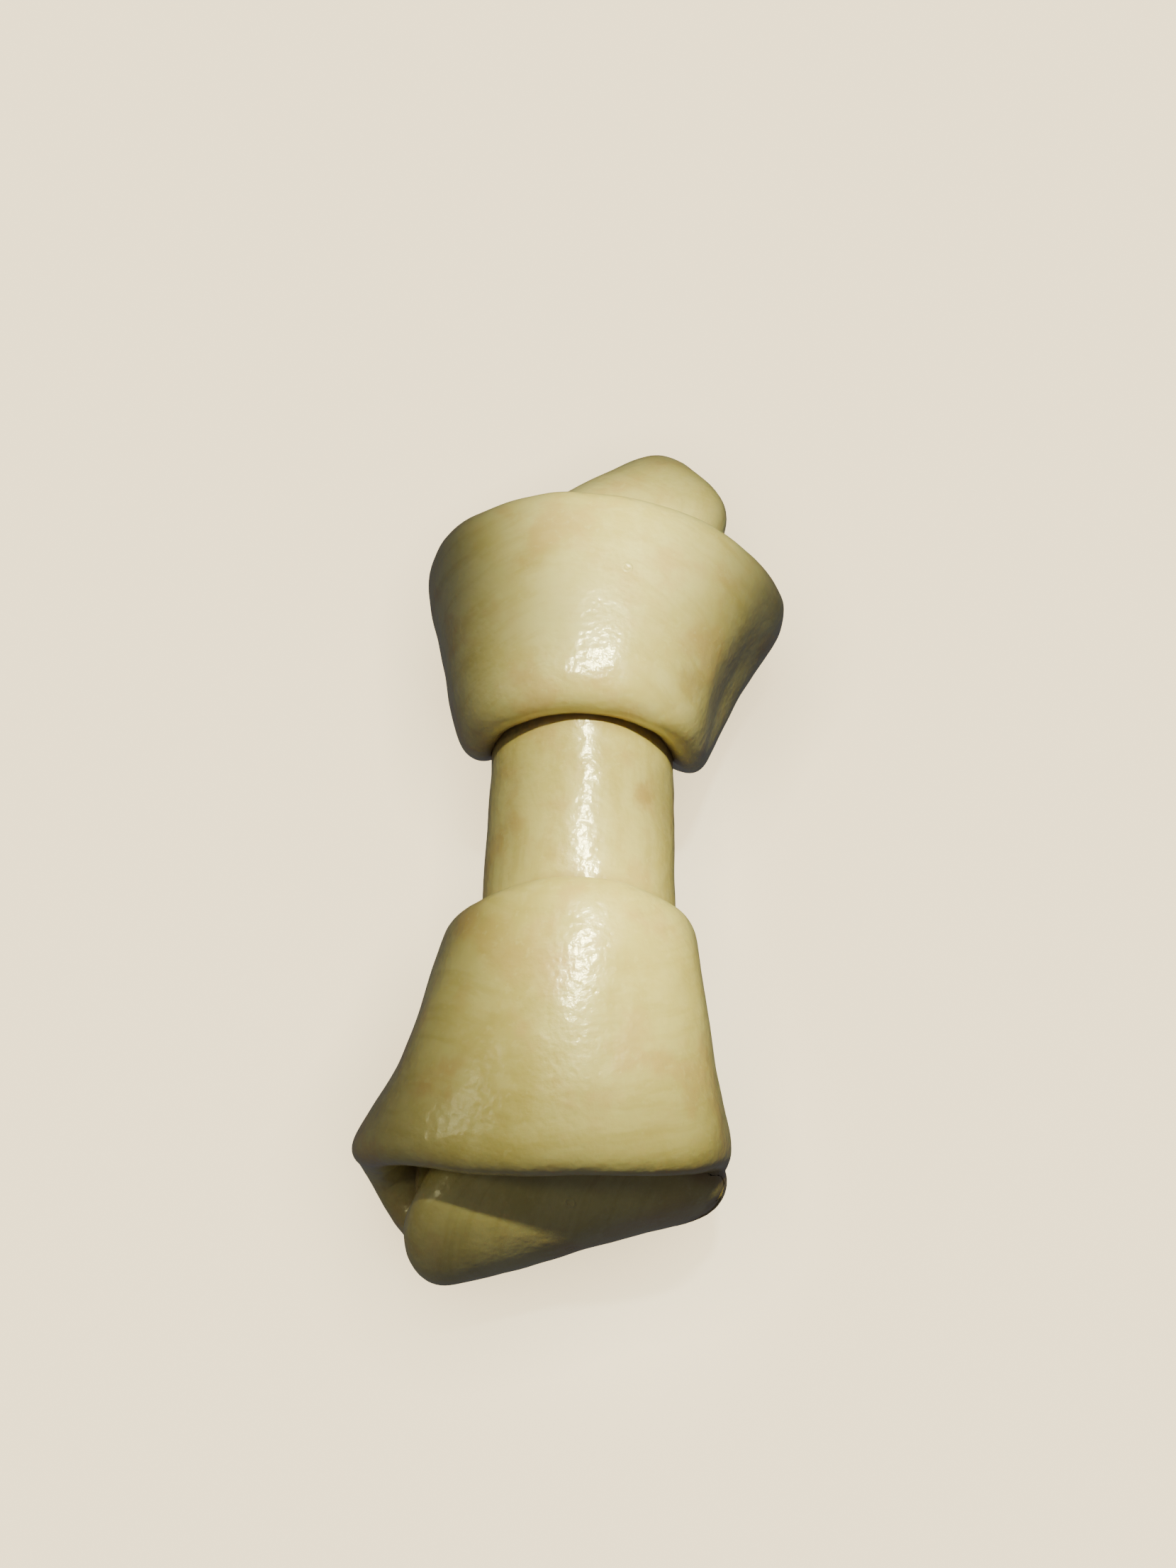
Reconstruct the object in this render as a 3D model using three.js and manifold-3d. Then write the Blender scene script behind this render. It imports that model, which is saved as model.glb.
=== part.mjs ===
// Knotted chew bone: a stick rolled from dried hide, tied in a flat knot at each end.
// The roll runs out of the shaft, opens into a flat heel, folds round the back, crosses
// the front of the shaft as a broad collar and ends in a tail tucked between the layers.
// Millimetres, +Z up. The shaft lies along Y and the bone rests on the backs of its knots.
import * as THREE from 'three';
import { mergeVertices } from 'three/addons/utils/BufferGeometryUtils.js';
import Module from 'manifold-3d';

const wasm = await Module();
wasm.setup();

// Driving dimensions
const SHAFT_RADIUS = 11;      // the rolled stick between the knots
const AXIS_HEIGHT = 16.2;     // shaft axis above the surface that the bone rests on
const NEAR_RIM = -11;         // Y of the near collar's rim, from the middle of the shaft
const FAR_RIM = 6.9;          // Y of the far collar's rim
const TUCK = 3;               // how far the shaft runs on under each rim
const CLEARANCE = 0.3;        // between the runs of the hide, which touch when dry
const BLOCK = 40;             // depth of the block that flattens the underside

// The rolled layers of the shaft, from the outside in
const OUTER_SHEET = { radius: SHAFT_RADIUS, thickness: 1.6, turns: 1.6, start: 1.06 * Math.PI };
const INNER_SHEET = { radius: 6.8, thickness: 1.4, turns: 1.4, start: 0.2 * Math.PI };
const DIP_STARTS = 0.8;       // the part of a turn after which a layer dips under the next
const INNER_SETBACK = 1;      // the inner pieces stop this far short of the outer sheet
const STRIP = { width: 4.6, thickness: 1.5 };

// Mesh resolution
const AROUND = 24;            // points round a section of the hide
const PER_STATION = 3;        // sections from one station to the next
const ROLL_STEPS = 30;        // facets in one turn of a rolled sheet

// The hide's path through a knot. The knot's own frame has its rim plane at y = 0, the
// shaft's axis at x = z = 0, and the knot towards -y. A row gives the hide's two edges,
// half its thickness and how far it bows out.
const NEAR_PATH = [
  ['shaft', [-11.0, 4.0, 0.0], [11.0, 4.0, 0.0], 11.0, 0],
  ['neck', [-10.4, -4.0, 0.0], [10.2, -4.0, 0.0], 9.8, 0],
  ['throat', [-10.4, -14.0, -0.3], [9.8, -13.0, -0.3], 7.2, 0],
  ['spread', [-14.5, -26.0, -0.8], [12.5, -24.0, -0.8], 5.6, 0],
  ['brow', [-19.2, -35.0, -1.3], [15.6, -29.4, -1.4], 4.6, 0],
  ['heel_front', [-19.4, -38.3, -3.9], [16.5, -29.9, -4.0], 4.3, -0.3],
  ['heel', [-18.6, -39.3, -7.2], [16.2, -30.0, -7.2], 4.2, -0.6],
  ['heel_back', [-19.4, -36.9, -11.0], [12.6, -28.6, -11.5], 4.0, -0.3],
  ['back_low', [-21.8, -33.8, -13.0], [6.0, -22.6, -13.6], 3.5, 0],
  ['back_high', [-23.6, -31.0, -12.0], [-3.6, -11.0, -13.0], 3.4, 0],
  ['left_back', [-24.2, -29.4, -7.0], [-10.8, -3.5, -8.0], 3.3, -1.2],
  ['left', [-23.8, -29.6, 0.0], [-12.7, -2.2, 0.0], 3.2, -2.0],
  ['left_front', [-19.4, -30.8, 6.4], [-9.5, -1.4, 8.2], 3.2, -0.5],
  ['front_left', [-10.0, -32.4, 10.1], [-4.2, -0.5, 11.7], 3.2, 1.2],
  ['front_right', [2.0, -32.8, 11.3], [3.6, -0.6, 12.3], 3.2, 1.3],
  ['right_front', [11.8, -32.0, 7.9], [8.9, -1.9, 8.4], 3.2, 0.2],
  ['right', [14.7, -30.8, 0.5], [10.6, -3.8, 0.5], 3.2, -1.2],
  ['right_back', [12.6, -32.0, -7.0], [9.6, -6.0, -8.6], 3.0, 0],
  ['tail_root', [3.0, -32.5, -8.2], [0.0, -9.5, -11.2], 2.6, 0],
  ['tail', [-9.0, -34.0, -7.0], [-9.5, -18.0, -9.6], 2.4, 0],
  ['tail_end', [-18.5, -35.0, -6.5], [-18.5, -25.5, -7.0], 2.2, 0],
];
const FAR_PATH = [
  ['shaft', [-11.0, 4.0, 0.0], [11.0, 4.0, 0.0], 11.0, 0],
  ['neck', [-10.4, -4.0, 0.0], [10.2, -4.0, 0.0], 9.8, 0],
  ['throat', [-10.4, -14.0, -0.3], [9.8, -13.0, -0.3], 7.2, 0],
  ['spread', [-15.9, -26.0, -0.8], [12.5, -21.0, -0.8], 5.6, 0],
  ['brow', [-18.0, -33.2, -0.8], [14.6, -24.6, -1.0], 4.6, 0],
  ['heel_front', [-14.8, -39.2, -2.8], [14.6, -26.2, -3.2], 4.3, 0],
  ['heel', [-12.9, -41.8, -6.0], [14.2, -26.7, -6.5], 4.2, 0],
  ['heel_back', [-16.4, -38.8, -11.0], [12.0, -24.6, -11.5], 4.0, 0],
  ['back_low', [-19.8, -33.2, -13.0], [6.0, -18.8, -13.6], 3.5, 0],
  ['back_high', [-22.2, -26.0, -12.0], [-3.8, -9.2, -13.0], 3.4, 0],
  ['left_back', [-23.5, -22.6, -7.0], [-11.4, -2.4, -8.0], 3.3, -1.0],
  ['left', [-23.4, -22.2, 0.0], [-11.7, 0.3, 0.0], 3.2, -2.6],
  ['left_front', [-19.8, -24.2, 6.3], [-9.6, -0.2, 8.2], 3.2, -0.8],
  ['front_left', [-11.0, -28.2, 9.7], [-4.4, -1.2, 11.8], 3.2, 0.8],
  ['front_right', [3.0, -30.0, 10.3], [3.8, -1.4, 12.2], 3.2, 0.8],
  ['right_front', [13.0, -27.8, 7.6], [9.5, -0.8, 8.2], 3.2, 0.3],
  ['right', [16.3, -25.8, 0.5], [11.0, -0.6, 0.5], 3.2, -0.1],
  ['right_back', [12.6, -27.5, -7.0], [9.6, -4.0, -8.6], 3.0, 0],
  ['tail_root', [3.0, -29.5, -8.2], [0.0, -9.5, -11.2], 2.6, 0],
  ['tail', [-7.0, -31.0, -7.0], [-8.5, -16.0, -9.6], 2.4, 0],
  ['tail_end', [-13.5, -31.5, -6.5], [-17.5, -20.5, -7.0], 2.2, 0],
];

// Hide, paler on the far knot and more yellow on the near one
const hide = (color) => new THREE.MeshStandardMaterial({ color, roughness: 0.42, metalness: 0 });
const SHAFT_HIDE = hide(0xc6bc93);
const NEAR_HIDE = hide(0xcbbf8c);
const FAR_HIDE = hide(0xd8cda4);
const INNER_HIDE = hide(0xb9a878);

function toSolid(geometry) {
  const bare = geometry.clone();
  bare.deleteAttribute('normal');
  bare.deleteAttribute('uv');
  const merged = mergeVertices(bare);
  return new wasm.Manifold(new wasm.Mesh({
    numProp: 3,
    vertProperties: new Float32Array(merged.attributes.position.array),
    triVerts: new Uint32Array(merged.index.array),
  }));
}

function toGeometry(solid) {
  const { vertProperties, triVerts } = solid.getMesh();
  const geometry = new THREE.BufferGeometry();
  geometry.setAttribute('position', new THREE.BufferAttribute(vertProperties, 3));
  geometry.setIndex(new THREE.BufferAttribute(triVerts, 1));
  geometry.computeVertexNormals();
  return geometry;
}

// The largest piece that is left of a solid after its neighbours are cut away
function cut(solid, ...neighbours) {
  const pieces = neighbours.reduce((rest, other) => rest.subtract(other), solid).decompose();
  return pieces.reduce((largest, piece) => (piece.volume() > largest.volume() ? piece : largest));
}

function makePath(rows) {
  const curve = (points, type) => new THREE.CatmullRomCurve3(points, false, type);
  const vectors = (column) => rows.map((row) => new THREE.Vector3(...row[column]));
  return {
    edgeA: curve(vectors(1), 'centripetal'),
    edgeB: curve(vectors(2), 'centripetal'),
    form: curve(rows.map((row) => new THREE.Vector3(row[3], row[4], 0)), 'catmullrom'),
    at: (name) => rows.findIndex((row) => row[0] === name) / (rows.length - 1),
    step: 1 / (rows.length - 1) / PER_STATION,
  };
}

// One section of the hide at u, a slab with round edges, grown on every side by swell
function section(path, u, swell) {
  const nudge = 1e-3;
  const middle = (t) => path.edgeA.getPoint(t).add(path.edgeB.getPoint(t)).multiplyScalar(0.5);
  const ahead = middle(Math.min(u + nudge, 1)).sub(middle(Math.max(u - nudge, 0))).normalize();
  const across = path.edgeB.getPoint(u).sub(path.edgeA.getPoint(u));
  const halfWidth = across.length() / 2 + swell;
  across.normalize();
  const out = new THREE.Vector3().crossVectors(ahead, across).normalize();
  const { x: thickness, y: bow } = path.form.getPoint(u);
  const halfThickness = thickness + swell;
  const fullness = Math.max(2, (2 * halfWidth) / halfThickness);
  const centre = middle(u);
  const points = [];
  for (let i = 0; i < AROUND; i += 1) {
    const angle = (-2 * Math.PI * i) / AROUND;
    const x = Math.cos(angle);
    const depth = Math.sqrt(Math.max(0, 1 - Math.abs(x) ** fullness));
    const y = Math.sign(Math.sin(angle)) * depth * halfThickness + bow * (1 - x * x);
    points.push(centre.clone().addScaledVector(across, x * halfWidth).addScaledVector(out, y));
  }
  return { points, centre, ahead };
}

// The hide between two stations as a closed solid
function run(path, from, to, swell = 0) {
  const count = Math.round((to - from) / path.step);
  const sections = [];
  for (let k = 0; k <= count; k += 1) {
    sections.push(section(path, from + ((to - from) * k) / count, swell));
  }
  const last = sections[count];
  for (const point of [...sections[0].points, sections[0].centre]) {
    point.addScaledVector(sections[0].ahead, -swell);
  }
  for (const point of [...last.points, last.centre]) point.addScaledVector(last.ahead, swell);

  const vertices = sections.flatMap((ring) => ring.points);
  const startHub = vertices.push(sections[0].centre) - 1;
  const endHub = vertices.push(last.centre) - 1;
  const faces = [];
  for (let i = 0; i < AROUND; i += 1) {
    const j = (i + 1) % AROUND;
    for (let k = 0; k < count; k += 1) {
      const a = k * AROUND;
      const b = a + AROUND;
      faces.push(a + i, b + j, a + j, a + i, b + i, b + j);
    }
    faces.push(startHub, i, j, endHub, count * AROUND + j, count * AROUND + i);
  }
  const geometry = new THREE.BufferGeometry().setFromPoints(vertices);
  geometry.setIndex(faces);
  return toSolid(geometry);
}

// A sheet rolled up along Y, its layers a clearance apart and each one round until it dips
function rolledSheet({ radius, thickness, turns, start }, length) {
  const steps = Math.round(turns * ROLL_STEPS);
  const edge = (inset) => Array.from({ length: steps + 1 }, (_, i) => {
    const turned = (turns * i) / steps;
    const layer = Math.floor(turned);
    const dip = layer + THREE.MathUtils.smoothstep(turned - layer, DIP_STARTS, 1);
    const r = radius - inset - (thickness + CLEARANCE) * dip;
    const angle = start + 2 * Math.PI * turned;
    return new THREE.Vector2(r * Math.cos(angle), r * Math.sin(angle));
  });
  const outline = new THREE.Shape([...edge(0), ...edge(thickness).reverse()]);
  const geometry = new THREE.ExtrudeGeometry(outline, { depth: length, bevelEnabled: false });
  return geometry.rotateX(Math.PI / 2).translate(0, length / 2, 0);
}

function mesh(name, geometry, material) {
  const piece = new THREE.Mesh(geometry, material);
  piece.name = name;
  return piece;
}

// A knot's four runs, each cut clear of the ones that it lies against
function makeKnot(prefix, rows, material) {
  const path = makePath(rows);
  const at = (name, stations = 0) => path.at(name) + stations / (rows.length - 1);
  const floor = toSolid(new THREE.BoxGeometry(2 * BLOCK, 2 * BLOCK, BLOCK)
    .translate(0, -BLOCK / 2, -AXIS_HEIGHT - BLOCK / 2));
  const shaftEnd = toSolid(new THREE.CylinderGeometry(
    SHAFT_RADIUS + CLEARANCE, SHAFT_RADIUS + CLEARANCE, 2 * TUCK + CLEARANCE, 2 * AROUND,
  ).translate(0, -CLEARANCE / 2, 0));

  const spans = {
    heel: [at('neck', -0.12), at('heel_back')],
    back_wrap: [at('heel_back'), at('left')],
    collar: [at('left'), at('right_back')],
    tail: [at('right_back'), at('tail_end')],
  };
  // The room that a run takes up, which its neighbours keep out of, and the closed crease
  // inside the fold, which none of them reaches
  const room = (name, solid) => run(path, ...spans[name], CLEARANCE).add(solid);
  const crease = run(path, at('brow'), at('heel_back'), CLEARANCE).hull();
  const heel = cut(run(path, ...spans.heel), shaftEnd, floor);
  const heelRoom = room('heel', heel).add(crease);
  const back = cut(run(path, ...spans.back_wrap), shaftEnd, heelRoom, floor);
  const backRoom = room('back_wrap', back);
  const tail = cut(run(path, ...spans.tail), shaftEnd, heelRoom, backRoom);
  const tailRoom = room('tail', tail);
  const collar = cut(run(path, ...spans.collar), shaftEnd, heelRoom, backRoom, tailRoom);

  const knot = new THREE.Group();
  knot.add(
    mesh(`${prefix}_heel`, toGeometry(heel), material),
    mesh(`${prefix}_back_wrap`, toGeometry(back), material),
    mesh(`${prefix}_collar`, toGeometry(collar), material),
    mesh(`${prefix}_tail`, toGeometry(tail), material),
  );
  return knot;
}

// The shaft: an outer rolled sheet, a second sheet rolled inside it, and two filler strips
function makeShaft() {
  const length = FAR_RIM - NEAR_RIM + 2 * TUCK;
  const innerLength = length - 2 * INNER_SETBACK;
  const shaft = new THREE.Group();
  shaft.add(
    mesh('shaft', rolledSheet(OUTER_SHEET, length), SHAFT_HIDE),
    mesh('inner_roll', rolledSheet(INNER_SHEET, innerLength), INNER_HIDE),
  );
  [1, -1].forEach((side, i) => {
    const strip = mesh(
      `filler_strip_${i + 1}`,
      new THREE.BoxGeometry(STRIP.width, innerLength, STRIP.thickness),
      INNER_HIDE,
    );
    strip.position.z = (side * (STRIP.thickness + CLEARANCE)) / 2;
    shaft.add(strip);
  });
  shaft.position.y = (FAR_RIM + NEAR_RIM) / 2;
  return shaft;
}

const nearKnot = makeKnot('near', NEAR_PATH, NEAR_HIDE);
nearKnot.position.y = NEAR_RIM;
const farKnot = makeKnot('far', FAR_PATH, FAR_HIDE);
farKnot.position.y = FAR_RIM;
farKnot.rotation.z = Math.PI;

const bone = new THREE.Group();
bone.add(makeShaft(), nearKnot, farKnot);
bone.position.z = AXIS_HEIGHT;

// The origin is under the middle of the whole bone
const box = new THREE.Box3().setFromObject(bone, true);
bone.position.x -= (box.min.x + box.max.x) / 2;
bone.position.y -= (box.min.y + box.max.y) / 2;

const group = new THREE.Group();
group.add(bone);

export default group;
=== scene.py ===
"""Knotted chew bone: rolled dried hide, a shaft with a flat overhand knot at each end.

The knots are swept from the same stations as the CAD model, pressed against each other,
and given the relief and the finish of dried hide. Lengths are millimetres until a mesh
is made. Those of the floor, lamps, camera and textures are metres, unless a comment says
otherwise. A knot's own frame has its rim plane at y = 0 and the shaft's axis at x = z = 0.
"""
import math

import bpy
import numpy as np
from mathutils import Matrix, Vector, noise
from mathutils.bvhtree import BVHTree


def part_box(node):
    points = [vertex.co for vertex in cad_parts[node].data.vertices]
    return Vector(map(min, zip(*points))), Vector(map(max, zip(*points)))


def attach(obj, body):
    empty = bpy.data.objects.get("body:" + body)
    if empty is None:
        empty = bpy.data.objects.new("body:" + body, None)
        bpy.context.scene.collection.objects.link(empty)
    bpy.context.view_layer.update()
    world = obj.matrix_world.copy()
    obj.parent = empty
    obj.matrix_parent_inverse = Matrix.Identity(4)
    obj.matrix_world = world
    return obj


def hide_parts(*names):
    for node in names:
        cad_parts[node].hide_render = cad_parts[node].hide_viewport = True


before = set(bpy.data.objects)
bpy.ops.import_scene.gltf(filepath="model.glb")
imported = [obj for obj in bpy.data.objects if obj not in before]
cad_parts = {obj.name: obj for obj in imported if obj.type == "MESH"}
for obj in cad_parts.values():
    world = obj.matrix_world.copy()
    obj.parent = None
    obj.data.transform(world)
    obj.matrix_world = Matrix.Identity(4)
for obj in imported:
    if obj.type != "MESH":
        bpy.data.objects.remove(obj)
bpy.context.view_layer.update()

MM = 0.001
SHAFT_RADIUS = 11.0
NEAR_RIM = -11.0  # y of the near collar's rim, in the CAD model's own layout
FAR_RIM = 6.9
TUCK = 3.0  # how far the shaft runs on under each rim
SHEET = 1.6  # thickness of the shaft's outer sheet
LAYER_GAP = 0.06
RING_STEP = 0.7  # distance between sections along the hide
AROUND = 112  # points round a section
FINE_STEPS = 4000  # samples that a knot's path is measured with
LEAD_IN = 0.12  # how far before its neck a knot's hide starts, in stations
SAME_STATION = 1e-6
SHORTEST = 1e-4  # keeps a spline from dividing by nothing where two stations meet
CENTRIPETAL = 0.5  # a spline's power: it takes tight turns without overshooting
UNIFORM = 0

# How a layer lies against its neighbours
REACH = 5.0  # how far it looks for them
SQUARE_ON = 0.85  # how straight ahead a nearest place has to lie, where 1 is square
PRESSED = (5.0, 11.0)  # how far past a fold a layer starts to be pushed, and is fully
DARKENED = (2.0, 9.0)  # how far past a fold the painted shade in a crevice starts, and is full
CREVICE_GAP = (0.1, 2.2)  # the gap at which a crevice's painted shade is darkest, and is gone

# The uneven swell of dried hide: the size and the height of each kind
RELIEF = ((11.0, 0.34), (4.3, 0.12), (1.9, 0.035))
SEED_STEP = Vector((17.3, 5.1, 9.7))  # how far apart in the noise two seeds lie

# A run's end, which shows its rolled layers where the hide was cut
CAP_LEVELS = 16
CAP_REACH = 0.97  # how far in its rings go, where 1 is the medial line
CAP_LAYERS = 2.6
CAP_BULGE = 0.35  # as a share of the grooves' depth
GROOVE_WIDTH = 0.13  # as a share of a layer
GROOVE_DEPTH = 0.7

# The shaft's rolled sheet, whose turns are counted from its free edge
FREE_EDGE = math.radians(200)  # where round the shaft that edge lies
ROLL_TURNS = 1.45
ROLL_POINTS = 190
EDGE_THICKNESS = 0.34  # the sheet is skived thin towards its free edge
SKIVED_TURNS = 0.14
EDGE_TURNS = 0.012  # taken up by the edge's rounding
EDGE_POINTS = 6
EDGE_DROP = 0.26
UNDER_EDGE = (0.66, 0.99)  # turns over which the first turn dips to go under the edge
FULL_RELIEF = 0.97  # turns with the whole relief, which is gone after the first turn
INNER_RELIEF = 0.9  # the inner face's relief, as a share of the outer face's
EDGE_WANDER = ((0.05, 4.1, 0.0), (0.03, 1.7, 1.0))  # radians, length and start of a wave
LOOSE_SIDE = math.radians(182)  # where round the shaft the roll swells
LOOSE_SPREAD = 0.5  # radians
LOOSE_SWELL = 0.65
LOOSE_ALONG = (-5.5, 4.5)  # where towards the near knot the swelling starts, and is full

# Station, the hide's two edges, half its thickness and how far it bows out
NEAR_PATH = [
    ("shaft", (-11.0, 4.0, 0.0), (11.0, 4.0, 0.0), 11.0, 0),
    ("neck", (-10.4, -4.0, 0.0), (10.2, -4.0, 0.0), 9.8, 0),
    ("throat", (-10.4, -14.0, -0.3), (9.8, -13.0, -0.3), 7.2, 0),
    ("spread", (-14.5, -26.0, -0.8), (12.5, -24.0, -0.8), 5.6, 0),
    ("brow", (-19.2, -35.0, -1.3), (15.6, -29.4, -1.4), 4.6, 0),
    ("heel_front", (-19.4, -38.3, -3.9), (16.5, -29.9, -4.0), 4.3, -0.3),
    ("heel", (-18.6, -39.3, -7.2), (16.2, -30.0, -7.2), 4.2, -0.6),
    ("heel_back", (-19.4, -36.9, -11.0), (12.6, -28.6, -11.5), 4.0, -0.3),
    ("back_low", (-21.8, -33.8, -13.0), (6.0, -22.6, -13.6), 3.5, 0),
    ("back_high", (-23.6, -31.0, -12.0), (-3.6, -11.0, -13.0), 3.4, 0),
    ("left_back", (-24.2, -29.4, -7.0), (-10.8, -3.5, -8.0), 3.3, -1.2),
    ("left", (-23.8, -29.6, 0.0), (-12.7, -2.2, 0.0), 3.2, -2.0),
    ("left_front", (-19.4, -30.8, 6.4), (-9.5, -1.4, 8.2), 3.2, -0.5),
    ("front_left", (-10.0, -32.4, 10.1), (-4.2, -0.5, 11.7), 3.2, 1.2),
    ("front_right", (2.0, -32.8, 11.3), (3.6, -0.6, 12.3), 3.2, 1.3),
    ("right_front", (11.8, -32.0, 7.9), (8.9, -1.9, 8.4), 3.2, 0.2),
    ("right", (14.7, -30.8, 0.5), (10.6, -3.8, 0.5), 3.2, -1.2),
    ("right_back", (12.6, -32.0, -7.0), (9.6, -6.0, -8.6), 3.0, 0),
    ("tail_root", (3.0, -32.5, -8.2), (0.0, -9.5, -11.2), 2.6, 0),
    ("tail", (-9.0, -34.0, -7.0), (-9.5, -18.0, -9.6), 2.4, 0),
    ("tail_end", (-18.5, -35.0, -6.5), (-18.5, -25.5, -7.0), 2.2, 0),
]
FAR_PATH = [
    ("shaft", (-11.0, 4.0, 0.0), (11.0, 4.0, 0.0), 11.0, 0),
    ("neck", (-10.4, -4.0, 0.0), (10.2, -4.0, 0.0), 9.8, 0),
    ("throat", (-10.4, -14.0, -0.3), (9.8, -13.0, -0.3), 7.2, 0),
    ("spread", (-15.9, -26.0, -0.8), (12.5, -21.0, -0.8), 5.6, 0),
    ("brow", (-18.0, -33.2, -0.8), (14.6, -24.6, -1.0), 4.6, 0),
    ("heel_front", (-14.8, -39.2, -2.8), (14.6, -26.2, -3.2), 4.3, 0),
    ("heel", (-12.9, -41.8, -6.0), (14.2, -26.7, -6.5), 4.2, 0),
    ("heel_back", (-16.4, -38.8, -11.0), (12.0, -24.6, -11.5), 4.0, 0),
    ("back_low", (-19.8, -33.2, -13.0), (6.0, -18.8, -13.6), 3.5, 0),
    ("back_high", (-22.2, -26.0, -12.0), (-3.8, -9.2, -13.0), 3.4, 0),
    ("left_back", (-23.5, -22.6, -7.0), (-11.4, -2.4, -8.0), 3.3, -1.0),
    ("left", (-23.4, -22.2, 0.0), (-11.7, 0.3, 0.0), 3.2, -2.6),
    ("left_front", (-19.8, -24.2, 6.3), (-9.6, -0.2, 8.2), 3.2, -0.8),
    ("front_left", (-11.0, -28.2, 9.7), (-4.4, -1.2, 11.8), 3.2, 0.8),
    ("front_right", (3.0, -30.0, 10.3), (3.8, -1.4, 12.2), 3.2, 0.8),
    ("right_front", (13.0, -27.8, 7.6), (9.5, -0.8, 8.2), 3.2, 0.3),
    ("right", (16.3, -25.8, 0.5), (11.0, -0.6, 0.5), 3.2, -0.1),
    ("right_back", (12.6, -27.5, -7.0), (9.6, -4.0, -8.6), 3.0, 0),
    ("tail_root", (3.0, -29.5, -8.2), (0.0, -9.5, -11.2), 2.6, 0),
    ("tail", (-7.0, -31.0, -7.0), (-8.5, -16.0, -9.6), 2.4, 0),
    ("tail_end", (-13.5, -31.5, -6.5), (-17.5, -20.5, -7.0), 2.2, 0),
]
RUNS = {
    "heel": ("neck", "heel_back"),
    "back_wrap": ("heel_back", "left"),
    "collar": ("left", "right_back"),
    "tail": ("right_back", "tail_end"),
}


# ---- curves ----


def spline(points, at, power):
    """Catmull-Rom through points, read at the given places in stations."""
    points = np.asarray(points, float)
    padded = np.vstack([2 * points[0] - points[1], points, 2 * points[-1] - points[-2]])
    station = np.clip(np.floor(at).astype(int), 0, len(points) - 2)
    within = (at - station)[:, None]
    p0, p1, p2, p3 = (padded[station + k] for k in range(4))
    d0, d1, d2 = (
        np.maximum(np.linalg.norm(b - a, axis=1, keepdims=True) ** power, SHORTEST)
        for a, b in ((p0, p1), (p1, p2), (p2, p3))
    )
    slope_1 = ((p1 - p0) / d0 - (p2 - p0) / (d0 + d1) + (p2 - p1) / d1) * d1
    slope_2 = ((p2 - p1) / d1 - (p3 - p1) / (d1 + d2) + (p3 - p2) / d2) * d1
    square = -3 * p1 + 3 * p2 - 2 * slope_1 - slope_2
    cube = 2 * p1 - 2 * p2 + slope_1 + slope_2
    return p1 + slope_1 * within + square * within**2 + cube * within**3


def smoothstep(x, low, high):
    t = np.clip((x - low) / (high - low), 0, 1)
    return t * t * (3 - 2 * t)


def unit(v):
    return v / np.linalg.norm(v, axis=-1, keepdims=True)


# ---- the hide as grids of points ----


def sections_along(names, edge_a, edge_b, fine):
    """Where to cut sections: every RING_STEP, by the hide's edge or middle that moves most.

    Returns how far the hide has walked at each section, and its place in stations. Each
    run ends on a section.
    """
    middle = (edge_a + edge_b) / 2
    steps = [np.linalg.norm(np.diff(edge, axis=0), axis=1) for edge in (edge_a, edge_b, middle)]
    walked = np.concatenate([[0], np.cumsum(np.maximum.reduce(steps))])
    stops = [0.0]
    for _, last in RUNS.values():
        end = np.interp(names.index(last), fine, walked)
        count = max(2, round((end - stops[-1]) / RING_STEP))
        stops.extend(np.linspace(stops[-1], end, count + 1)[1:])
    return np.array(stops), np.interp(stops, walked, fine)


def sweep(rows, to_bone):
    """The whole of a knot's hide: points [section, round], their medial line and path."""
    names = [row[0] for row in rows]
    fine = np.linspace(names.index("neck") - LEAD_IN, len(rows) - 1, FINE_STEPS)
    edge_a = spline([row[1] for row in rows], fine, CENTRIPETAL)
    edge_b = spline([row[2] for row in rows], fine, CENTRIPETAL)
    walked, at = sections_along(names, edge_a, edge_b, fine)
    edge_a = spline([row[1] for row in rows], at, CENTRIPETAL)
    edge_b = spline([row[2] for row in rows], at, CENTRIPETAL)
    form = spline([row[3:5] for row in rows], at, UNIFORM)
    centre = (edge_a + edge_b) / 2
    half_width = np.linalg.norm(edge_b - edge_a, axis=1)[:, None, None] / 2
    across = unit(edge_b - edge_a)
    ahead = unit(np.gradient(centre, axis=0))
    out = unit(np.cross(ahead, across))
    half_thickness, bow = (form[:, k, None, None] for k in range(2))
    angle = -np.linspace(0, 2 * math.pi, AROUND, endpoint=False)[None, :, None]
    # A slab with round edges, and a circle where it is as thick as it is wide
    x = np.cos(angle) + 0 * half_width
    fullness = np.maximum(2 * half_width / half_thickness, 2)
    y = np.sign(np.sin(angle)) * np.sqrt(np.maximum(1 - np.abs(x) ** fullness, 0))
    lift = bow * (1 - x * x)
    core = 1 - half_thickness / half_width
    hub = np.clip(x, -core, core)
    medial = centre[:, None] + across[:, None] * hub * half_width
    medial = medial + out[:, None] * bow * (1 - hub * hub)
    points = centre[:, None] + across[:, None] * x * half_width
    points = points + out[:, None] * (y * half_thickness + lift)
    return {
        "points": to_bone(points),
        "medial": to_bone(medial),
        "at": at,
        "walked": walked,
        "names": names,
    }


def grid_normals(points):
    """Outward normals of a grid that closes on itself round its second axis."""
    along = np.gradient(points, axis=0)
    around = np.roll(points, -1, axis=1) - np.roll(points, 1, axis=1)
    return unit(np.cross(along, around))


def grid_faces(sections, around):
    a = np.arange(sections - 1)[:, None] * around
    j = np.arange(around)[None, :]
    k = (j + 1) % around
    return np.stack([a + j, a + around + j, a + around + k, a + k], axis=-1).reshape(-1, 4)


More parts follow.
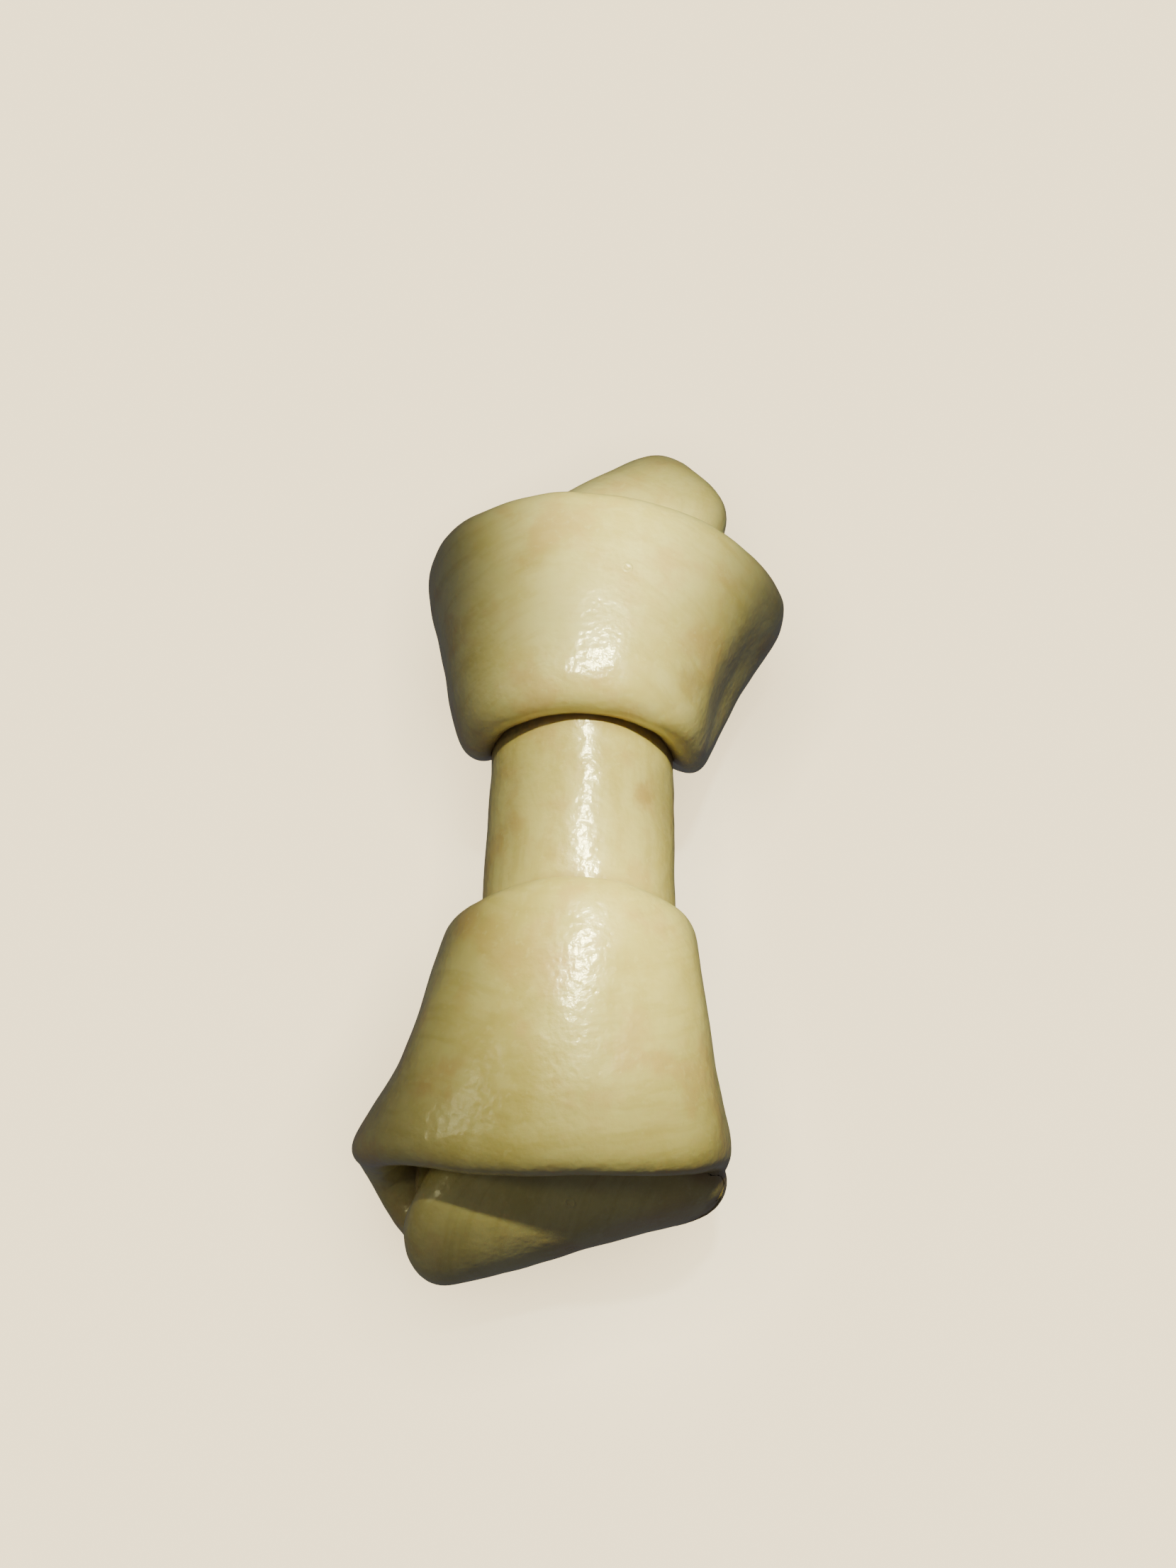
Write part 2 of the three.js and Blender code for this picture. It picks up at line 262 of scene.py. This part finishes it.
def closed_faces(sections, around):
    """The faces of such a grid, with one more face over each end."""
    faces = grid_faces(sections, around).tolist()
    last = (sections - 1) * around
    faces.append(list(range(around)))
    faces.append([last + j for j in reversed(range(around))])
    return faces


def girth_of(rings):
    """How far round its section each point is."""
    sides = np.linalg.norm(np.diff(rings, axis=1, append=rings[:, :1]), axis=2)
    return np.cumsum(sides, axis=1)


def surface_tree(points):
    """A search tree of a run's outer surface, which is open at its ends."""
    faces = grid_faces(*points.shape[:2]).tolist()
    return BVHTree.FromPolygons(points.reshape(-1, 3).tolist(), faces)


def press(points, tree, freedom):
    """Push points out of a solid, by as much as freedom allows (0 to 1 per section)."""
    pressed = points.copy()
    for index in np.ndindex(points.shape[:-1]):
        nearest, normal, _, distance = tree.find_nearest(points[index], REACH)
        if nearest is None or freedom[index[0]] == 0:
            continue
        depth = (nearest - Vector(points[index])).dot(normal)
        # A nearest place on an edge isn't square to the surface, and says nothing of depth
        if depth > -LAYER_GAP and abs(depth) > SQUARE_ON * distance:
            pressed[index] += np.array(normal) * (depth + LAYER_GAP) * freedom[index[0]]
    return pressed


def closeness(points, tree):
    """How near each point is to a surface, from 0 where it is clear to 1 where they touch."""
    distance = np.full(points.shape[:-1], REACH)
    for index in np.ndindex(distance.shape):
        found = tree.find_nearest(points[index], REACH)
        if found[0] is not None:
            distance[index] = found[3]
    return 1 - smoothstep(distance, *CREVICE_GAP)


def relief(points, seed):
    """The uneven swell of dried hide, as a height along the normal."""
    offset = SEED_STEP * seed
    total = np.zeros(points.shape[:-1])
    for index in np.ndindex(total.shape):
        p = Vector(points[index])
        for size, height in RELIEF:
            total[index] += height * noise.noise(p / size + offset)
    return total


# ---- meshes ----


def add_piece(name, vertices, faces, normals=None, attributes=None):
    mesh = bpy.data.meshes.new(name)
    mesh.from_pydata((vertices * MM).tolist(), [], faces)
    mesh.update()
    for key, values in (attributes or {}).items():
        kind = "FLOAT" if values.ndim == 1 else "FLOAT_VECTOR"
        layer = mesh.attributes.new(key, kind, "POINT")
        layer.data.foreach_set("value" if values.ndim == 1 else "vector", values.ravel())
    mesh.polygons.foreach_set("use_smooth", [True] * len(mesh.polygons))
    if normals is not None:
        mesh.normals_split_custom_set_from_vertices(normals.tolist())
    piece = bpy.data.objects.new(name, mesh)
    bpy.context.scene.collection.objects.link(piece)
    return piece


def cap(ring, medial, outward, grooves):
    """A run's end: rings from its rim in to its medial line, grooved between layers."""
    levels = np.linspace(0, CAP_REACH, CAP_LEVELS + 1)[1:, None]
    turn = np.linspace(0, 1, len(ring), endpoint=False)[None, :]
    points = ring[None] + (medial - ring)[None] * levels[..., None]
    layer = (levels * CAP_LAYERS + turn) % 1.0
    groove = grooves * np.exp(-(((layer - 0.5) / GROOVE_WIDTH) ** 2))
    depth = groove - CAP_BULGE * grooves * levels
    return points - outward * depth[..., None]


def make_run(name, hide, low, high, grooves):
    """One run of the hide between two sections, closed at both ends."""
    rings = hide["points"][low : high + 1]
    medial = hide["medial"][low : high + 1]
    sections, around = rings.shape[:2]
    first = cap(rings[0], medial[0], unit((rings[0] - rings[1]).mean(0)), grooves[0])
    last = cap(rings[-1], medial[-1], unit((rings[-1] - rings[-2]).mean(0)), grooves[1])
    rows = np.concatenate([first[::-1], rings, last])
    normals = grid_normals(rows)
    inner = slice(CAP_LEVELS, CAP_LEVELS + sections)
    normals[inner] = hide["normals"][low : high + 1]
    section = np.arange(len(rows)) - CAP_LEVELS
    walked = np.interp(section, np.arange(sections), hide["walked"][low : high + 1])
    girth = girth_of(rows)
    # The ends get the full crevice value, so the painted crevice shade darkens them whole
    crevice = np.ones(rows.shape[:2])
    crevice[inner] = hide["crevice"][low : high + 1]
    place = np.stack([np.broadcast_to(walked[:, None], girth.shape), girth, crevice], axis=-1)
    return add_piece(
        name,
        rows.reshape(-1, 3),
        closed_faces(len(rows), around),
        normals.reshape(-1, 3),
        {"hide_place": place.reshape(-1, 3), "crevice": crevice.ravel()},
    )


def press_runs(points, walked, bounds, part, shaft_tree):
    """Press a knot's runs clear of each other and of the shaft, in the order they lie."""

    def tree_of(run):
        return surface_tree(points[part[run]])

    everywhere = np.ones(len(walked))
    past_heel = smoothstep(walked - walked[bounds["heel"][1]], *PRESSED)
    before_tail = smoothstep(walked[bounds["tail"][0]] - walked, *PRESSED)
    presses = [
        ("back_wrap", tree_of("heel"), past_heel),
        ("tail", tree_of("heel"), everywhere),
        ("tail", tree_of("back_wrap"), everywhere),
        ("collar", shaft_tree, everywhere),
        ("collar", tree_of("heel"), everywhere),
        ("collar", tree_of("tail"), before_tail),
    ]
    for run, tree, freedom in presses:
        points[part[run]] = press(points[part[run]], tree, freedom[part[run]])


def crevices(points, bounds, part, shaft_tree):
    """How deep in a crevice each point of a knot lies, 0 to 1, which sets the painted shade
    there.
    """
    depth = np.zeros(points.shape[:2])
    section = np.arange(len(points))
    for run in RUNS:
        for other, (low, high) in bounds.items():
            if other == run:
                continue
            gap = np.maximum(low - section, section - high)
            apart = smoothstep(gap * RING_STEP, *DARKENED)[part[run], None]
            near = closeness(points[part[run]], surface_tree(points[part[other]])) * apart
            depth[part[run]] = np.maximum(depth[part[run]], near)
    near = closeness(points[part["collar"]], shaft_tree)
    depth[part["collar"]] = np.maximum(depth[part["collar"]], near)
    return depth


def solve_knot(rows, to_bone, seed, shaft_tree):
    """Sweep a knot's hide, press its runs together and give it its relief."""
    hide = sweep(rows, to_bone)
    at, names = hide["at"], hide["names"]
    points, walked = hide["points"], hide["walked"]
    bounds = {}
    for run, ends in RUNS.items():
        low, high = (int(np.searchsorted(at, names.index(end) - SAME_STATION)) for end in ends)
        bounds[run] = (0 if run == "heel" else low, high)
    part = {run: slice(low, high + 1) for run, (low, high) in bounds.items()}
    points += grid_normals(points) * relief(points, seed)[..., None]
    # Before and after pressing, the hide lies no lower than the table
    points[..., 2] = np.maximum(points[..., 2], 0)
    press_runs(points, walked, bounds, part, shaft_tree)
    points[..., 2] = np.maximum(points[..., 2], 0)
    hide["bounds"] = bounds
    hide["normals"] = grid_normals(points)
    hide["crevice"] = crevices(points, bounds, part, shaft_tree)
    return hide


# ---- the shaft's rolled sheet ----


def sheet_thickness(turned):
    return EDGE_THICKNESS + (SHEET - EDGE_THICKNESS) * smoothstep(turned, 0, SKIVED_TURNS)


def rolled_sheet(low_y, high_y, seed):
    """Closed sections of the rolled outer sheet, shaft axis at x = z = 0.

    Returns them with the number of points that are on the shaft's outside.
    """
    edge = np.linspace(0, EDGE_TURNS, EDGE_POINTS)[:-1]
    turned = np.concatenate([edge, np.linspace(EDGE_TURNS, ROLL_TURNS, ROLL_POINTS)])
    step = EDGE_THICKNESS + LAYER_GAP
    first = SHAFT_RADIUS - step * smoothstep(turned, *UNDER_EDGE)
    second = SHAFT_RADIUS - sheet_thickness(turned - 1) - LAYER_GAP
    radius = np.where(turned < 1, first, second)
    rounding = np.clip(1 - turned / EDGE_TURNS, 0, 1)
    radius = radius - EDGE_DROP * (1 - np.sqrt(1 - rounding**2))
    ys = np.linspace(low_y, high_y, round((high_y - low_y) / RING_STEP) + 1)
    # The edge wanders a little, and the whole roll with it
    wander = sum(turn * np.sin(ys / length + start) for turn, length, start in EDGE_WANDER)
    angle = FREE_EDGE + wander[:, None] + 2 * math.pi * turned[None, :]

    def face(radii):
        across = np.broadcast_to(radii, angle.shape)
        along = np.broadcast_to(ys[:, None], angle.shape)
        return np.stack([across * np.cos(angle), along, across * np.sin(angle)], axis=-1)

    outward = np.stack([np.cos(angle), 0 * angle, np.sin(angle)], axis=-1)
    outer = face(radius)
    height = relief(outer, seed)
    height *= smoothstep(-turned, -1.0, -FULL_RELIEF)
    # The roll was wound looser towards the near knot, and swells on its left
    swell = np.exp(-(((np.mod(angle, 2 * math.pi) - LOOSE_SIDE) / LOOSE_SPREAD) ** 2))
    height += LOOSE_SWELL * swell * smoothstep(-ys, *LOOSE_ALONG)[:, None]
    outer = outer + outward * height[..., None]
    inner = face(radius - sheet_thickness(turned)) + outward * (INNER_RELIEF * height)[..., None]
    return np.concatenate([outer, inner[:, ::-1]], axis=1), int((turned < 1).sum())


# ---- materials ----

# Painted shade: where layers lie close, and over the runs' ends, the hide is darkened towards
# this deep brown
CREVICE_SHADE_COLOUR = (0.26, 0.13, 0.030, 1)
CREVICE_SHADE_DEPTH = 0.62
STAIN_TINT = (0.50, 0.34, 0.13, 1)
STAIN_RAGGED = 1.6  # how far mottling moves a stain's edge, in its own radius
STAIN_CORE = 0.2  # the share of its radius that has its full colour
BLISTER_SCALE = 170.0
BLISTER_CHOSEN = (0.86, 0.90)  # of a cell's random number, where its blister shows
BLISTER_RADIUS = 0.08  # in cells
BLISTER_RIM = 0.045
BLISTER_RAGGED = 0.16
BLISTER_PALENESS = 0.30
GLOSSIEST = 0.30  # the lowest roughness
GLOSS_SPREAD = 0.22
CREVICE_ROUGHNESS = 0.15
# Each hide's body colour, its pale clouds, deep streaks and stained patches, and its
# larger stains: the place of each in millimetres, its radius and its depth of colour
HIDES = {
    "shaft_hide": {
        "body": (0.64, 0.55, 0.20, 1),
        "pale": (0.74, 0.66, 0.29, 1),
        "deep": (0.56, 0.46, 0.16, 1),
        "tint": (0.60, 0.40, 0.16, 1),
        "spots": [((7.4, 1.2, 24.4), 2.8, 0.85), ((-2.0, -6.5, 27.0), 2.0, 0.25)],
    },
    "near_hide": {
        "body": (0.66, 0.565, 0.20, 1),
        "pale": (0.76, 0.68, 0.29, 1),
        "deep": (0.58, 0.48, 0.15, 1),
        "tint": (0.66, 0.44, 0.18, 1),
        "spots": [
            ((-4.0, -19.0, 28.8), 3.6, 0.45),
            ((6.8, -30.0, 28.5), 3.4, 0.40),
            ((-10.0, -30.0, 26.5), 3.8, 0.35),
        ],
    },
    "far_hide": {
        "body": (0.74, 0.65, 0.26, 1),
        "pale": (0.82, 0.75, 0.37, 1),
        "deep": (0.66, 0.55, 0.20, 1),
        "tint": (0.70, 0.48, 0.20, 1),
        "spots": [((13.0, 14.0, 26.5), 3.0, 0.50), ((-5.0, 27.0, 29.0), 3.8, 0.30)],
    },
    "inner_hide": {
        "body": (0.50, 0.38, 0.14, 1),
        "pale": (0.60, 0.48, 0.20, 1),
        "deep": (0.42, 0.30, 0.10, 1),
        "tint": (0.46, 0.28, 0.09, 1),
        "spots": [],
    },
}
FLOOR_LOW = (0.26, 0.27, 0.42, 1)
FLOOR_HIGH = (0.29, 0.30, 0.45, 1)
FLOOR_GLOW = (2.72, 2.24, 1.32, 1)  # the lit tabletop, evened out so that it stays pale
FLOOR_SHADE = (1.1, 0.90, 0.53, 1)  # the same, darkened close under the bone: a painted contact shadow
SHADE_REACH = 0.014
SHADE_SAMPLES = 12


class Nodes:
    """A short way to build a material's node tree."""

    def __init__(self, name):
        self.material = bpy.data.materials.new(name)
        self.material.use_nodes = True
        self.tree = self.material.node_tree
        self.shader = self.tree.nodes["Principled BSDF"]

    def add(self, kind, inputs=None, **settings):
        node = self.tree.nodes.new(kind)
        for key, value in settings.items():
            setattr(node, key, value)
        for key, value in (inputs or {}).items():
            self.feed(node.inputs[key], value)
        return node

    def feed(self, socket, value):
        if isinstance(value, bpy.types.NodeSocket):
            self.tree.links.new(value, socket)
        else:
            socket.default_value = value

    def math(self, operation, *values):
        node = self.add("ShaderNodeMath", operation=operation)
        for socket, value in zip(node.inputs, values):
            self.feed(socket, value)
        return node.outputs[0]

    def ramp(self, value, low, high):
        """value taken from low..high to 0..1, smoothly."""
        inputs = {"Value": value, "From Min": low, "From Max": high}
        node = self.add("ShaderNodeMapRange", inputs, interpolation_type="SMOOTHSTEP")
        return node.outputs["Result"]

    def mix(self, factor, a, b):
        """Colour a turned into b by factor, whose sockets are numbers 0, 6 and 7."""
        node = self.add("ShaderNodeMix", {0: factor, 6: a, 7: b}, data_type="RGBA")
        return node.outputs[2]

    def noise(self, vector, scale, detail=3.0, roughness=0.55):
        inputs = {"Vector": vector, "Scale": scale, "Detail": detail, "Roughness": roughness}
        return self.add("ShaderNodeTexNoise", inputs).outputs["Fac"]

    def bump(self, height, distance, strength, below):
        inputs = {"Height": height, "Distance": distance, "Strength": strength}
        if below is not None:
            inputs["Normal"] = below
        return self.add("ShaderNodeBump", inputs).outputs["Normal"]


def blister_rings(nodes, place):
    """Small blisters left by drying: ragged rings about a millimetre across, few of them."""
    inputs = {"Vector": place, "Scale": BLISTER_SCALE}
    cells = nodes.add("ShaderNodeTexVoronoi", inputs, feature="F1")
    chosen = nodes.add("ShaderNodeSeparateColor", {"Color": cells.outputs["Color"]})
    few = nodes.ramp(chosen.outputs[0], *BLISTER_CHOSEN)
    uneven = nodes.math("SUBTRACT", nodes.noise(place, 900, 2), 0.5)
    ragged = nodes.math("MULTIPLY", uneven, BLISTER_RAGGED)
    away = nodes.math("ADD", cells.outputs["Distance"], ragged)
    rim = nodes.math("ABSOLUTE", nodes.math("SUBTRACT", away, BLISTER_RADIUS))
    return nodes.math("MULTIPLY", nodes.ramp(rim, BLISTER_RIM, 0.0), few)


def stain(nodes, colour, place, mottle, spot):
    """One larger stain over colour, with an edge that the mottling makes ragged."""
    middle, radius, depth = spot
    inputs = {0: place, 1: tuple(value * MM for value in middle)}
    away = nodes.add("ShaderNodeVectorMath", inputs, operation="DISTANCE")
    uneven = nodes.math("SUBTRACT", mottle, 0.5)
    ragged = nodes.math("MULTIPLY", uneven, STAIN_RAGGED * radius * MM)
    reach = nodes.math("ADD", away.outputs["Value"], ragged)
    inside = nodes.ramp(reach, radius * MM, STAIN_CORE * radius * MM)
    return nodes.mix(nodes.math("MULTIPLY", inside, depth), colour, STAIN_TINT)


def hide_material(name, body, pale, deep, tint, spots):
    """Dried hide: cloudy ivory with ochre stains, fine grain, a waxy broken gloss, and painted
    shade in its crevices.
    """
    nodes = Nodes(name)
    place = nodes.add("ShaderNodeTexCoord").outputs["Object"]
    path = nodes.add("ShaderNodeAttribute", attribute_name="hide_place").outputs["Vector"]
    stretched = {0: path, 1: (0.12, 0.55, 0)}
    streak = nodes.add("ShaderNodeVectorMath", stretched, operation="MULTIPLY").outputs[0]
    crevice = nodes.add("ShaderNodeAttribute", attribute_name="crevice").outputs["Fac"]
    mottle = nodes.noise(place, 330, 5, 0.6)
    rings = blister_rings(nodes, place)

    # Each wash of colour: its pattern, where in the pattern it starts and is full, its
    # strength and its colour. They are clouds, mottling, streaks, blush, stains and flecks.
    washes = (
        (nodes.noise(place, 85, 4), 0.36, 0.66, 1.0, pale),
        (mottle, 0.45, 0.66, 0.66, pale),
        (nodes.noise(streak, 1.0, 4), 0.45, 0.70, 0.45, deep),
        (nodes.noise(place, 140, 3), 0.50, 0.68, 0.52, tint),
        (nodes.noise(place, 62, 2), 0.60, 0.78, 0.50, tint),
        (nodes.noise(place, 1000, 2), 0.58, 0.70, 0.45, pale),
    )
    colour = body
    for pattern, start, full, strength, wash in washes:
        amount = nodes.math("MULTIPLY", nodes.ramp(pattern, start, full), strength)
        colour = nodes.mix(amount, colour, wash)
    for spot in spots:
        colour = stain(nodes, colour, place, mottle, spot)
    # Painted shade in the crevices between layers and where a collar lies on the shaft
    colour = nodes.mix(nodes.math("MULTIPLY", crevice, CREVICE_SHADE_DEPTH), colour, CREVICE_SHADE_COLOUR)
    colour = nodes.mix(nodes.math("MULTIPLY", rings, BLISTER_PALENESS), colour, pale)
    nodes.feed(nodes.shader.inputs["Base Color"], colour)

    dulled = nodes.math("MULTIPLY", nodes.noise(place, 420, 4), GLOSS_SPREAD)
    rough = nodes.math("ADD", GLOSSIEST, dulled)
    rough = nodes.math("ADD", rough, nodes.math("MULTIPLY", crevice, CREVICE_ROUGHNESS))
    nodes.feed(nodes.shader.inputs["Roughness"], rough)

    # Relief too fine for the mesh: its pattern, its height in metres and its strength. It
    # is dimples, pebbling, fibres, grain and the blisters.
    inputs = {"Vector": place, "Scale": 1150.0}
    pebble = nodes.add("ShaderNodeTexVoronoi", inputs, feature="SMOOTH_F1")
    bumps = (
        (nodes.noise(place, 560, 2), 0.00013, 0.62),
        (pebble.outputs["Distance"], 0.00009, 0.60),
        (nodes.noise(streak, 7.0, 3), 0.00002, 0.30),
        (nodes.noise(place, 1900, 3, 0.6), 0.00005, 0.60),
        (rings, 0.00010, 0.70),
    )
    normal = None
    for height, distance, strength in bumps:
        normal = nodes.bump(height, distance, strength, normal)
    nodes.feed(nodes.shader.inputs["Normal"], normal)
    nodes.feed(nodes.shader.inputs["Coat Normal"], normal)

    nodes.shader.inputs["IOR"].default_value = 1.50
    nodes.shader.inputs["Subsurface Weight"].default_value = 0.22
    nodes.shader.inputs["Subsurface Radius"].default_value = (1.0, 0.62, 0.28)
    nodes.shader.inputs["Subsurface Scale"].default_value = 0.0022
    nodes.shader.inputs["Coat Weight"].default_value = 0.66
    nodes.shader.inputs["Coat Roughness"].default_value = 0.17
    return nodes.material


def floor_material():
    """A pale tabletop that glows a little, and less so close under the bone, which is a painted
    contact shadow.
    """
    nodes = Nodes("pale_floor")
    place = nodes.add("ShaderNodeTexCoord").outputs["Object"]
    speckle = nodes.ramp(nodes.noise(place, 900, 2), 0.3, 0.7)
    nodes.feed(nodes.shader.inputs["Base Color"], nodes.mix(speckle, FLOOR_LOW, FLOOR_HIGH))
    nodes.shader.inputs["Roughness"].default_value = 0.85
    reach = {"Distance": SHADE_REACH}
    # Painted contact shadow: the glow is dimmed where the bone is near
    sky = nodes.add("ShaderNodeAmbientOcclusion", reach, samples=SHADE_SAMPLES)
    glow = nodes.mix(sky.outputs["AO"], FLOOR_SHADE, FLOOR_GLOW)
    nodes.feed(nodes.shader.inputs["Emission Color"], glow)
    nodes.shader.inputs["Emission Strength"].default_value = 1.0
    return nodes.material


MATERIALS = {name: hide_material(name, **look) for name, look in HIDES.items()}


def finish_piece(piece, slot, *nodes):
    piece.data.materials.append(MATERIALS[slot])
    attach(piece, "root")
    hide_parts(*nodes)


# ---- the bone ----

strips = [corner for node in ("filler_strip_1", "filler_strip_2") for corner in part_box(node)]
shaft_middle = np.array(sum(strips, Vector()) / len(strips)) / MM
bone = shaft_middle - np.array([0, (NEAR_RIM + FAR_RIM) / 2, 0])

sheet, outer_columns = rolled_sheet(NEAR_RIM - TUCK, FAR_RIM + TUCK, seed=1)
sheet += bone
shaft_tree = surface_tree(sheet[:, :outer_columns])

# Each knot's stations, the way from its own frame into the bone's, and its relief's seed
KNOTS = {
    "near": (NEAR_PATH, lambda p: p + bone + (0, NEAR_RIM, 0), 2),
    "far": (FAR_PATH, lambda p: p * (-1, -1, 1) + bone + (0, FAR_RIM, 0), 3),
}
shaft_crevice = np.zeros(sheet.shape[:2])
for knot, (rows, to_bone, seed) in KNOTS.items():
    hide = solve_knot(rows, to_bone, seed, shaft_tree)
    for run, (low, high) in hide["bounds"].items():
        grooves = (0, GROOVE_DEPTH) if run == "tail" else (0, 0)
        piece = make_run(f"{knot}_{run}_hide", hide, low, high, grooves)
        finish_piece(piece, f"{knot}_hide", f"{knot}_{run}")
    low, high = hide["bounds"]["collar"]
    collar_tree = surface_tree(hide["points"][low : high + 1])
    # Where a collar lies close over the shaft, the shaft gets the painted crevice shade as well
    shaft_crevice = np.maximum(shaft_crevice, closeness(sheet, collar_tree))

shaft_place = np.stack([sheet[..., 1], girth_of(sheet), shaft_crevice], axis=-1)
shaft = add_piece(
    "shaft_sheet",
    sheet.reshape(-1, 3),
    closed_faces(*sheet.shape[:2]),
    attributes={"hide_place": shaft_place.reshape(-1, 3), "crevice": shaft_crevice.ravel()},
)
finish_piece(shaft, "shaft_hide", "shaft")

for node in ("inner_roll", "filler_strip_1", "filler_strip_2"):
    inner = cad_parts[node]
    inner.data.materials.clear()
    inner.data.materials.append(MATERIALS["inner_hide"])


# ---- floor, light and camera ----

FLOOR_REACH = 12.0  # from its middle to each side
WORLD_COLOUR = (0.90, 0.92, 1.1, 1)
WORLD_STRENGTH = 0.088
# The key is a slot-shaped beam along the bone: six round beams, each of two lamps a little
# apart. How far along and across the bone each beam points in millimetres, its watts and
# the radius of its lamps:
KEY_BEAMS = (
    (38, 5.2, 15.5, 0.010),
    (24, 4.7, 11.5, 0.010),
    (10, 4.0, 10.5, 0.010),
    (-4, 3.0, 10.0, 0.010),
    (-18, 4.0, 13.0, 0.010),
    (-32, 5.0, 25.0, 0.017),
)
KEY_POINT = (0.030, 0.118, 0.430)
KEY_SPREAD = 0.009  # from that point to each lamp of a pair
KEY_CONE = 4.6
KEY_LIGHT = (1.0, 0.95, 0.48)
# A weak lamp from the left lights the near knot's flank and its heel
SIDE_POINT = (-0.30, -0.02, 0.26)
SIDE_AIM = (-0.014, -0.040, 0)  # from the shaft's middle
SIDE_RADIUS = 0.06
SIDE_WATTS = 1.6
SIDE_CONE = 13
VIEW_CENTRE = (0.9, 6.25, 0)  # in millimetres, from the shaft's middle
ELEVATION = math.radians(70)
DISTANCE = 0.243
SENSOR = 36.0
LENS = 47.2


def add_floor():
    size = FLOOR_REACH
    corners = [(-size, -size, 0), (size, -size, 0), (size, size, 0), (-size, size, 0)]
    mesh = bpy.data.meshes.new("floor")
    mesh.from_pydata(corners, [], [(0, 1, 2, 3)])
    floor = bpy.data.objects.new("floor", mesh)
    floor.data.materials.append(floor_material())
    floor.visible_diffuse = False
    floor.visible_glossy = False
    bpy.context.scene.collection.objects.link(floor)


def aim(thing, eye, target):
    thing.location = eye
    thing.rotation_mode = "QUATERNION"
    thing.rotation_quaternion = (Vector(eye) - Vector(target)).to_track_quat("Z", "Y")


def add_spot(name, eye, target, radius, watts, cone):
    """A focused lamp with a soft edge; cone is its full angle in degrees."""
    light = bpy.data.lights.new(name, "SPOT")
    light.shadow_soft_size = radius
    light.spot_size = math.radians(cone)
    light.spot_blend = 1.0
    light.energy = watts
    light.color = KEY_LIGHT
    lamp = bpy.data.objects.new(name, light)
    bpy.context.scene.collection.objects.link(lamp)
    aim(lamp, eye, target)


def add_lamps(axis_point):
    for number, (along, across, watts, radius) in enumerate(KEY_BEAMS):
        key_spot = axis_point + Vector((across, along, 0)) * MM
        for side in (-1, 1):
            eye = (KEY_POINT[0] + side * KEY_SPREAD, KEY_POINT[1], KEY_POINT[2])
            add_spot(f"key_{number}_{side}", eye, key_spot, radius, watts / 2, KEY_CONE)
    side_spot = axis_point + Vector(SIDE_AIM)
    add_spot("side", SIDE_POINT, side_spot, SIDE_RADIUS, SIDE_WATTS, SIDE_CONE)


def add_world():
    world = bpy.data.worlds.new("studio")
    world.use_nodes = True
    background = world.node_tree.nodes["Background"]
    background.inputs["Color"].default_value = WORLD_COLOUR
    background.inputs["Strength"].default_value = WORLD_STRENGTH
    bpy.context.scene.world = world


def add_camera(axis_point):
    target = axis_point + Vector(VIEW_CENTRE) * MM
    back = Vector((0, -math.cos(ELEVATION), math.sin(ELEVATION)))
    camera_data = bpy.data.cameras.new("camera")
    camera_data.sensor_width = SENSOR
    camera_data.lens = LENS
    camera = bpy.data.objects.new("camera", camera_data)
    bpy.context.scene.collection.objects.link(camera)
    aim(camera, target + back * DISTANCE, target)
    bpy.context.scene.camera = camera


axis_point = Vector(shaft_middle * MM)
add_camera(axis_point)
add_floor()
add_world()
add_lamps(axis_point)
